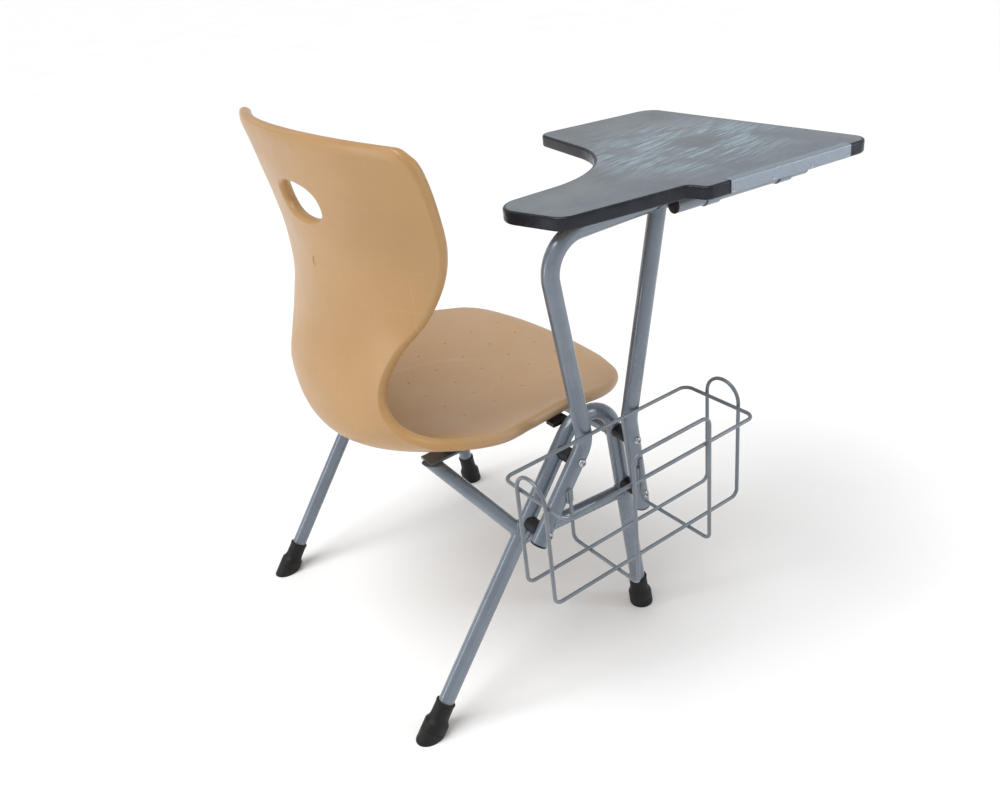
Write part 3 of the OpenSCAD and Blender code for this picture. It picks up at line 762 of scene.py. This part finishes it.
# ---- frame tubes ----
def on_rear_leg(x, along):
    """Point of a rear leg's centre line, along metres from the floor."""
    return point(x, foot_y - along * math.sin(rear_lean), along * math.cos(rear_lean))


def on_front_leg(x, along):
    """Point of a front leg's centre line, along metres from the floor."""
    return point(x, -foot_y + along * math.sin(front_lean), along * math.cos(front_lean))


def rear_leg_at(x, z):
    """Point of a rear leg's centre line at height z."""
    return point(x, foot_y - z * math.tan(rear_lean), z)


def front_leg_at(x, z):
    """Point of a front leg's centre line at height z."""
    return point(x, -foot_y + z * math.tan(front_lean), z)


apex_z = 2 * foot_y / (math.tan(rear_lean) + math.tan(front_lean))
LEG_START = 26 * MM     # where the tube starts inside its boot
SIDES = (("right", -side_x), ("left", side_x))


def build_side_frames():
    for side, x in SIDES:
        line = rounded([on_rear_leg(x, LEG_START), rear_leg_at(x, apex_z),
                        on_front_leg(x, LEG_START)], arch_r, steps=30)
        verts, faces = sweep(line, tube_r, 40)
        add_piece("side_tube_" + side, verts, faces, PAINT, "frame_paint",
                  replaces=["side_frame_" + side])


STRETCHER_REAR, STRETCHER_FRONT = 266 * MM, 251 * MM
BRACE_RISE = 9 * MM
BRACE_OUT, BRACE_TOP_Y = 8 * MM, 80 * MM


def build_stretcher(side, x):
    """Stretcher between the legs of one side, and its two weld beads."""
    rear, front = rear_leg_at(x, STRETCHER_REAR), front_leg_at(x, STRETCHER_FRONT)
    add_piece("stretcher_tube_" + side, *sweep([rear, front], rail_r, 36), PAINT,
              "frame_paint", replaces=["stretcher_" + side])
    return [weld_ring(rear, front, rail_r, on_rear_leg(x, 0), rear, tube_r),
            weld_ring(front, rear, rail_r, on_front_leg(x, 0), front, tube_r)]


def build_brace(side, x):
    """Brace from a rear leg up to the seat rail, cut off level under it, and its weld."""
    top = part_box("brace_" + side)[1].z
    foot = rear_leg_at(x, STRETCHER_REAR + BRACE_RISE)
    rail_x = abs(centre("seat_rail_" + side).x)
    head = point(math.copysign(rail_x + BRACE_OUT, x), BRACE_TOP_Y, top)
    past_head = head + unit(head - foot) * 4 * rail_r
    brace = add_piece("brace_tube_" + side, *sweep([foot, past_head], rail_r, 36), PAINT,
                      "frame_paint", replaces=["brace_" + side])
    trim(brace, top, keep_low=True)
    return weld_ring(foot, head, rail_r, on_rear_leg(x, 0), foot, tube_r)


def cross_tube_weld(x):
    """Weld bead at one end of the cross tube."""
    middle = centre("cross_tube")
    return weld_ring(point(x, middle.y, middle.z), point(0, middle.y, middle.z), rail_r,
                     on_front_leg(x, 0), front_leg_at(x, apex_z), tube_r)


def build_bars():
    welds = []
    for side, x in SIDES:
        welds += build_stretcher(side, x)
        welds += [build_brace(side, x), cross_tube_weld(x)]
    add_piece("frame_welds", *joined(welds), PAINT, "frame_paint")


def trim(piece, z, keep_low):
    """Cuts a closed piece off level at height z and keeps the part below or above."""
    work = bmesh.new()
    work.from_mesh(piece.data)
    geometry = work.verts[:] + work.edges[:] + work.faces[:]
    cut = bmesh.ops.bisect_plane(work, geom=geometry, plane_co=(0, 0, z), plane_no=(0, 0, 1),
                                 clear_outer=keep_low, clear_inner=not keep_low)
    edges = [e for e in cut["geom_cut"] if isinstance(e, bmesh.types.BMEdge)]
    made = bmesh.ops.edgenet_fill(work, edges=edges)
    for face in made["faces"]:
        face.smooth = True
        for edge in face.edges:
            edge.smooth = False
    bmesh.ops.recalc_face_normals(work, faces=work.faces)
    work.to_mesh(piece.data)
    work.free()


# Half outline of a boot from the sleeve's mouth down, past the floor: a sleeve, a flare
# and a wider base with a ring line
BOOT_PROFILE = in_mm([
    (12.6, 54), (12.6, 59.2), (13.4, 60), (14.6, 60), (15.5, 59.1), (15.5, 56.6), (14.8, 55.8),
    (15.1, 36), (15.8, 31), (17.3, 27.5), (18.9, 25.4), (19.5, 23.4), (19.5, 12.5),
    (18.7, 11.7), (18.7, 10.3), (19.5, 9.5), (19.5, -20)])


def build_boots():
    for side, x in SIDES:
        for end, leg in (("rear", on_rear_leg), ("front", on_front_leg)):
            name = "boot_%s_%s" % (end, side)
            shape = lathe(BOOT_PROFILE, leg(x, 0), leg(x, 1), 56)
            boot = add_piece(name + "_moulding", *shape, RUBBER, "boot_rubber", replaces=[name])
            trim(boot, 0, keep_low=False)


build_side_frames()
build_bars()
build_boots()


# ---- tablet support ----
REAR_END, FRONT_END, KNEE = 277 * MM, 242 * MM, 408 * MM
REST_GAP = 0.3 * MM
run_z = tablet_under - REST_GAP - tube_r
REAR_TOP_Y, FRONT_TOP_Y = -46 * MM, -247 * MM
run_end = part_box("support_rear")[0].y
KNEE_R, TOP_R = 45 * MM, 52 * MM
SUPPORT_BEAD = 2.2 * MM
PLUG_PROFILE = in_mm([(9, -3.4), (11.2, -3.2), (12.1, -2.6), (12.5, -1.7), (12.5, -0.2),
                      (10.8, 0), (10.8, 6)])


def build_supports():
    rear = [rear_leg_at(support_x, REAR_END), rear_leg_at(support_x, KNEE),
            point(support_x, REAR_TOP_Y, run_z), point(support_x, run_end, run_z)]
    front = [front_leg_at(support_x, FRONT_END), front_leg_at(support_x, KNEE),
             point(support_x, FRONT_TOP_Y, run_z)]
    line = rounded(rear, [0, KNEE_R, TOP_R, 0], steps=26)
    add_piece("support_tube_rear", *sweep(line, tube_r, 40), PAINT, "frame_paint",
              replaces=["support_rear"])
    line = rounded(front, [0, KNEE_R, 0], steps=20)
    add_piece("support_tube_front", *sweep(line, tube_r, 40), PAINT, "frame_paint",
              replaces=["support_front"])
    weld = weld_ring(front[2], front[1], tube_r, point(support_x, 0, run_z),
                     point(support_x, run_end, run_z), tube_r, SUPPORT_BEAD)
    add_piece("support_weld", *weld, PAINT, "frame_paint")
    ends = ((rear[0], rear[1]), (front[0], front[1]), (rear[3], rear[2]))
    plugs = [lathe(PLUG_PROFILE, end, inner) for end, inner in ends]
    add_piece("support_end_plugs", *joined(plugs), BLACK, "black_plastic",
              replaces=["support_plugs"])


def solids(node):
    """Corner points of each separate solid of a CAD node, in a fixed order."""
    work = bmesh.new()
    work.from_mesh(nodes[node].data)
    bmesh.ops.remove_doubles(work, verts=work.verts, dist=1e-6)
    left = set(work.verts)
    groups = []
    while left:
        stack = [left.pop()]
        group = list(stack)
        while stack:
            for edge in stack.pop().link_edges:
                for v in edge.verts:
                    if v in left:
                        left.discard(v)
                        stack.append(v)
                        group.append(v)
        groups.append(np.array([v.co[:] for v in group]))
    work.free()
    return sorted(groups, key=lambda corners: tuple(corners.min(0)))


# Half outline of a bolt from its shank out to the dome and into the hexagon recess
BOLT_PROFILE = in_mm([
    (3, -40), (3, -0.4), (6.5, 0), (6.55, 0.5), (6.1, 1.7), (5.2, 2.8), (4.1, 3.6),
    (3.1, 4.1), (2.5, 4.2), (2.3, 4.0), (2.3, 2.0)])
RECESS_RINGS = (9, 10)


def build_bolts():
    heads = []
    for corners in solids("support_bolts"):
        middle = (corners.min(0) + corners.max(0)) / 2
        seat = point(support_x - tube_r, middle[1], middle[2])
        heads.append(lathe(BOLT_PROFILE, seat, seat - point(1, 0, 0), hexed=RECESS_RINGS))
    add_piece("support_bolt_heads", *joined(heads), ZINC, "bright_steel",
              replaces=["support_bolts"])


build_supports()
build_bolts()


# ---- tablet ----
SLANT = math.radians(6.8)
EDGE_REF = point(-396, -284) * MM
edge_dir = point(-math.sin(SLANT), -math.cos(SLANT))
edge_in = point(math.cos(SLANT), -math.sin(SLANT))


def right_edge(y):
    """Point of the slanting right edge at y, in millimetres."""
    return (EDGE_REF[0] / MM + (y - EDGE_REF[1] / MM) * math.tan(SLANT), y)


# Corners in millimetres with their radii, the same as the CAD tablet
CORNERS = [((-211, -28), 34), ((-331, -60), 30), ((-364, -242), 10), (right_edge(-250), 14),
           (right_edge(-543), 24), ((-6, -524), 32), ((37, -311), 20), ((-223, -273), 150)]


def tablet_outline(inset):
    """Outline of the tablet, moved in by inset, as (x, y) in metres."""
    pts = []
    n = len(CORNERS)
    inset = inset / MM
    for i in range(n):
        a, b, c = (np.array(CORNERS[(i + k - 1) % n][0], float) for k in range(3))
        r = CORNERS[i][1]
        u, v = unit(b - a), unit(c - b)
        left_u, left_v = point(-u[1], u[0]), point(-v[1], v[0])
        side = math.copysign(1, u[0] * v[1] - u[1] * v[0])
        turn = math.acos(np.clip(u @ v, -1, 1))
        corner = b + inset * (left_u + left_v) / (1 + u @ v)
        rr = max(r - side * inset, 1)
        middle = corner - u * rr * math.tan(turn / 2) + left_u * side * rr
        steps = 28 if r > 100 else 14
        out = -side * left_u
        for k in range(steps + 1):
            g = side * turn * k / steps
            pts.append(middle + rr * point(out[0] * math.cos(g) - out[1] * math.sin(g),
                                           out[0] * math.sin(g) + out[1] * math.cos(g)))
    return np.array(pts) * MM


def outline_loft(profile, closed):
    """Surface through tablet outlines: profile gives (inset, height) pairs."""
    loops = [np.column_stack([outline, np.full(len(outline), z)])
             for outline, z in ((tablet_outline(inset), z) for inset, z in profile)]
    rings, sides = len(loops), len(loops[0])
    faces = ring_faces(rings, sides, closed)
    if not closed:
        faces += end_faces(rings, sides)
    return np.concatenate(loops), faces


EDGE_W = 4 * MM
EDGE_ROUND = 3.4 * MM


def build_tablet():
    r = EDGE_ROUND
    arc = [math.radians(a) for a in (0, 18, 36, 54, 72, 90)]
    profile = [(EDGE_W, tablet_under), (r, tablet_under)]
    profile += [(r - r * math.sin(a), tablet_under + r - r * math.cos(a)) for a in arc[1:]]
    profile += [(0.15 * MM, (tablet_top + tablet_under) / 2)]
    profile += [(r - r * math.cos(a), tablet_top - r + r * math.sin(a)) for a in arc[:-1]]
    profile += [(r, tablet_top), (EDGE_W, tablet_top)]
    add_piece("tablet_cast_edge", *outline_loft(profile, True), CAST, "cast_edge", TABLET,
              ["tablet_edge"], smooth=50)
    inset = EDGE_W + 0.06 * MM
    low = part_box("tablet_laminate")[0].z
    sheet = [(inset, low), (inset, tablet_top - 0.15 * MM), (inset + 0.15 * MM, tablet_top)]
    add_piece("tablet_top_sheet", *outline_loft(sheet, False), LAMINATE, "laminate", TABLET,
              ["tablet_laminate"], smooth=50)


STRIP_LEN, STRIP_LIP, STRIP_T = 212 * MM, 14 * MM, 1.5 * MM
STRIP_BEND, STRIP_START = 2.6 * MM, 2 * MM


def build_strip():
    """Folded strip over the right edge: a lip, a rounded fold and an upright face."""
    low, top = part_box("edge_strip")[0].z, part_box("edge_strip")[1].z
    gap = 0.05 * MM
    loop = [(STRIP_LIP, tablet_top + gap), (STRIP_LIP, top - 0.2 * MM),
            (STRIP_LIP - 0.3 * MM, top)]
    for k in range(9):
        a = math.radians(90 + 90 * k / 8)
        loop.append((STRIP_BEND * (1 + math.cos(a)), top - STRIP_BEND * (1 - math.sin(a))))
    loop += [(0, low + 0.3 * MM), (0.3 * MM, low), (STRIP_T - 0.2 * MM, low),
             (STRIP_T, low + 0.2 * MM), (STRIP_T, tablet_top + gap)]
    start = EDGE_REF + edge_dir * STRIP_START - edge_in * (STRIP_T + gap)
    verts = []
    for along in (0, STRIP_LEN):
        for across, z in loop:
            p = start + edge_dir * along + edge_in * across
            verts.append(point(p[0], p[1], z))
    faces = ring_faces(2, len(loop)) + end_faces(2, len(loop))
    add_piece("edge_strip_folded", verts, faces, STRIP, "strip_aluminium", TABLET,
              ["edge_strip"], smooth=40)


build_tablet()
build_strip()


# ---- hinge ----
HINGE_R, HINGE_LEN = 11 * MM, 226 * MM
CAP_PROFILE = in_mm([(7, -3.3), (9.6, -3.1), (10.7, -2.2), (11, -1.2), (11, -0.1), (9.4, 0),
                     (9.4, 6)])
hinge_joint = frame["joints"][0]
hinge_rear = point(*hinge_joint["pos_m"])
hinge_front = hinge_rear + HINGE_LEN * unit(point(*hinge_joint["axis"]))


def build_hinge():
    add_piece("hinge_bar_tube", *sweep([hinge_rear, hinge_front], HINGE_R, 40), PAINT,
              "frame_paint", replaces=["hinge_bar"])
    ends = ((hinge_rear, hinge_front), (hinge_front, hinge_rear))
    caps = [lathe(CAP_PROFILE, end, inner, 40) for end, inner in ends]
    add_piece("hinge_end_caps", *joined(caps), BLACK, "black_plastic",
              replaces=["hinge_bar_caps"])


build_hinge()


# ---- basket ----
def wire_box(node):
    """Corners of the box round a basket wire's centre line."""
    low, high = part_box(node)
    inset = Vector((wire_r, wire_r, wire_r))
    return low + inset, high - inset


rim_low, rim_high = wire_box("basket_rim")
long_low, long_high = wire_box("basket_long_loop")
cross_low, cross_high = wire_box("basket_cross_loop")
rim_z = (rim_low.z + rim_high.z) / 2
RIM_BEND, LONG_BEND, CROSS_BEND = 14 * MM, 12 * MM, 10 * MM
WIRE_END_REAR, WIRE_END_FRONT = 354 * MM, 342 * MM
TAB_WIDE, TAB_THICK, TAB_ROUND, TAB_CHAMFER = 12 * MM, 2.4 * MM, 3 * MM, 0.4 * MM
TAB_REAR, TAB_FRONT = (330 * MM, 352 * MM), (286 * MM, 326 * MM)


def build_rim_wire():
    rim = [point(rim_high.x, rim_high.y, rim_z), point(rim_high.x, rim_low.y, rim_z),
           point(rim_low.x, rim_low.y, rim_z), point(rim_low.x, rim_high.y, rim_z)]
    line = rounded(rim, RIM_BEND, True, 12)
    add_piece("basket_rim_wire", *sweep(line, wire_r, 20, closed=True), WIRE, "wire_paint",
              replaces=["basket_rim"])


def build_long_wire():
    """Closed loop along the basket, with an arch over each end."""
    low, high = long_low, long_high
    arch = (high.x - low.x) / 2 - 0.5 * MM
    corners = [point(high.x, high.y, low.z), point(high.x, low.y, low.z),
               point(high.x, low.y, high.z), point(low.x, low.y, high.z),
               point(low.x, low.y, low.z), point(low.x, high.y, low.z),
               point(low.x, high.y, high.z), point(high.x, high.y, high.z)]
    line = rounded(corners, [LONG_BEND, LONG_BEND, arch, arch] * 2, True)
    add_piece("basket_long_wire", *sweep(line, wire_r, 20, closed=True), WIRE, "wire_paint",
              replaces=["basket_long_loop"])


def build_cross_wire():
    """Open loop across the basket that ends beside the two supports."""
    low, high, inner = cross_low, cross_high, rim_high.x
    corners = [point(inner, high.y, WIRE_END_REAR), point(inner, high.y, low.z),
               point(low.x, high.y, low.z), point(low.x, high.y, high.z),
               point(low.x, low.y, high.z), point(low.x, low.y, low.z),
               point(inner, low.y, low.z), point(inner, low.y, WIRE_END_FRONT)]
    bends = [0, CROSS_BEND, CROSS_BEND, RIM_BEND, RIM_BEND, CROSS_BEND, CROSS_BEND, 0]
    line = rounded(corners, bends, steps=12)
    add_piece("basket_cross_wire", *sweep(line, wire_r, 20), WIRE, "wire_paint",
              replaces=["basket_cross_loop"])


def tab(middle, high):
    """Small upright plate with rounded corners, square to X."""
    verts = []
    half = TAB_THICK / 2
    for x, inset in ((-half, TAB_CHAMFER), (TAB_CHAMFER - half, 0),
                     (half - TAB_CHAMFER, 0), (half, TAB_CHAMFER)):
        for q, (sy, sz) in enumerate(((1, 1), (-1, 1), (-1, -1), (1, -1))):
            for k in range(6):
                a = math.radians(90 * q + 18 * k)
                y = sy * (TAB_WIDE / 2 - TAB_ROUND) + (TAB_ROUND - inset) * math.cos(a)
                z = sz * (high / 2 - TAB_ROUND) + (TAB_ROUND - inset) * math.sin(a)
                verts.append(middle + point(x, y, z))
    return verts, ring_faces(4, 24) + end_faces(4, 24)


def build_tabs():
    """Flat tabs between the cross wire's inner ends and the supports."""
    tabs = []
    for y, (low, high) in ((cross_high.y, TAB_REAR), (cross_low.y, TAB_FRONT)):
        middle = point(support_x - tube_r - TAB_THICK / 2, y, (low + high) / 2)
        tabs.append(tab(middle, high - low))
    add_piece("basket_tabs", *joined(tabs), PAINT, "frame_paint")


def build_weld_nuggets():
    """Small lumps of weld where wires cross."""
    spots = []
    for x in (long_high.x, long_low.x):
        for y, wall in ((long_high.y, rim_high.y), (long_low.y, rim_low.y)):
            spots.append(point(x, (y + wall) / 2, rim_z))
        for y in (cross_high.y, cross_low.y):
            spots.append(point(x, y, (long_low.z + cross_low.z) / 2))
    for y in (cross_high.y, cross_low.y):
        spots.append(point((cross_low.x + rim_low.x) / 2, y, rim_z))
    nuggets = []
    for k, spot in enumerate(spots):
        r = wire_r * (0.80 + 0.06 * math.sin(2.3 * k))
        rings = [(max(r * math.cos(a), 0.05 * MM), r * 1.15 * math.sin(a))
                 for a in np.linspace(-math.pi / 2, math.pi / 2, 9)]
        nuggets.append(lathe(rings, spot, spot + point(1, 0.4, 0), 16))
    add_piece("basket_weld_nuggets", *joined(nuggets), WIRE, "wire_paint")


build_rim_wire()
build_long_wire()
build_cross_wire()
build_tabs()
build_weld_nuggets()


# ---- mould mark on the rear of the back ----
MARK_R, MARK_Z, MARK_BEAD = 6.5 * MM, 276 * MM, 1.1 * MM


def build_mould_mark():
    """Raised crescent that follows the shell's rear face."""
    steps = 30
    line, sizes = [], []
    for k in range(steps + 1):
        a = math.radians(-85 + 185 * k / steps)
        s, t = shell_place(MARK_R * math.cos(a), MARK_Z + 1.25 * MARK_R * math.sin(a))
        line.append(shell_mid(s, t) - shell_normal(s, t) * WALL_HALF)
        sizes.append(MARK_BEAD * math.sin(math.pi * (0.06 + 0.88 * k / steps)))
    add_piece("shell_mould_mark", *sweep(line, sizes, 12), SHELL, "shell")


build_mould_mark()


# ---- stage ----
FLOOR_HALF, FLOOR_DROP = 60.0, 0.4 * MM


def build_stage():
    floor_look = Shader("floor", Roughness=0.75)
    tone = floor_look.ramp(floor_look.noise(2.0, 3), 0.3, 0.7)
    floor_look.colour(floor_look.blend(tone, (0.90, 0.90, 0.90), (0.92, 0.92, 0.92)))
    mesh = bpy.data.meshes.new("floor")
    signs = ((-1, -1), (1, -1), (1, 1), (-1, 1))
    corners = [(x * FLOOR_HALF, y * FLOOR_HALF, 0) for x, y in signs]
    mesh.from_pydata(corners, [], [(0, 1, 2, 3)])
    mesh.materials.append(floor_look.material)
    floor = bpy.data.objects.new("floor", mesh)
    floor.location.z = -FLOOR_DROP
    bpy.context.scene.collection.objects.link(floor)


def add_lamp(name, kind, towards, power, place=(0, 0, 0)):
    data = bpy.data.lights.new(name, kind)
    data.energy = power
    lamp = bpy.data.objects.new(name, data)
    lamp.location = place
    lamp.rotation_euler = Vector(towards).to_track_quat("-Z", "Y").to_euler()
    bpy.context.scene.collection.objects.link(lamp)
    return data


# Soft lamps: name, place, size and power, and a tint
SOFT_LAMPS = (("side_strip", (0.9, 2.6, 1.3), (0.45, 2.2), 15, (1, 1, 1)),
              ("window", (-2.3, -2.0, 1.5), (0.5, 1.8), 14, (0.92, 0.96, 1.0)))
LAMP_AIM = Vector((0, 0, 0.45))


def build_lights():
    key = add_lamp("key", "SUN", (-0.08, -0.36, -1.1), 1.75)
    key.angle = math.radians(40)
    for name, place, size, power, tint in SOFT_LAMPS:
        lamp = add_lamp(name, "AREA", LAMP_AIM - Vector(place), power, place)
        lamp.shape = "RECTANGLE"
        lamp.size, lamp.size_y = size
        lamp.color = tint
    world = bpy.data.worlds.new("studio")
    bpy.context.scene.world = world
    world.use_nodes = True
    background = world.node_tree.nodes["Background"]
    background.inputs["Color"].default_value = (1, 1, 1, 1)
    background.inputs["Strength"].default_value = 0.60
    bpy.context.scene.view_settings.view_transform = "Standard"


build_stage()
build_lights()
